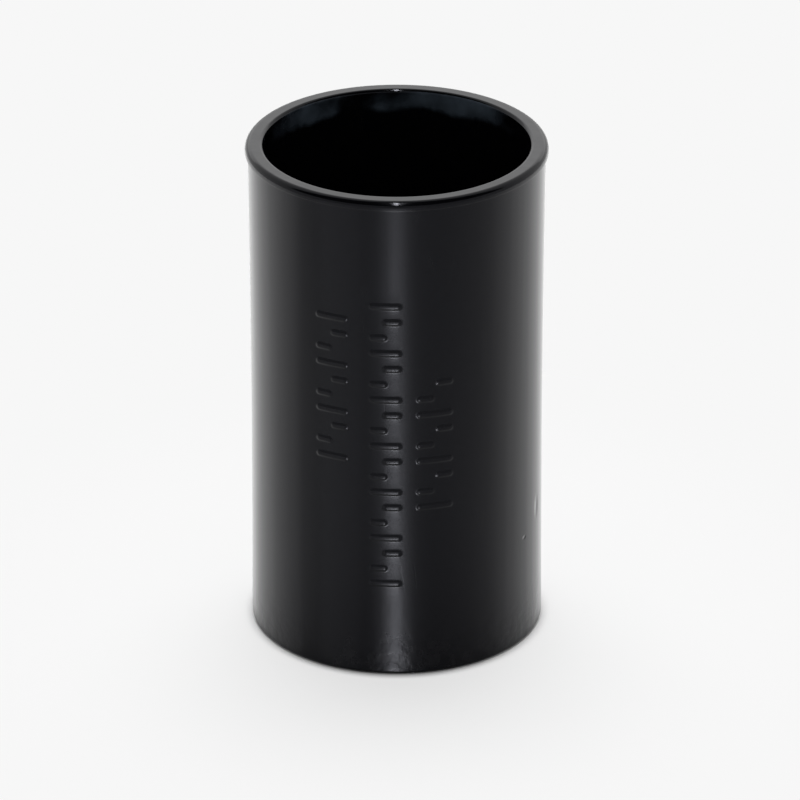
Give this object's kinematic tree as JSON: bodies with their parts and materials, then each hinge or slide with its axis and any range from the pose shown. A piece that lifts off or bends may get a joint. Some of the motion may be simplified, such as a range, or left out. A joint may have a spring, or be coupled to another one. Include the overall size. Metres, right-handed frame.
{
  "type": "pvc pipe coupler",
  "caption": "Straight tubular coupler with a socket at each end and a stop ring inside, joining two plain pipe ends in line.",
  "frame": {"origin": "middle of the foot end's plane, on the tube's axis", "axes": "+Z along the tube from the plain foot end to the lipped end, -Y towards the three rows of raised marks"},
  "size_m": [0.0232, 0.0232, 0.04],
  "materials": {
    "black_pvc": "glossy as moulded, faint flow lines and handling scuffs"
  },
  "bodies": {
    "root": {"coupler": "black_pvc"}
  },
  "joints": []
}
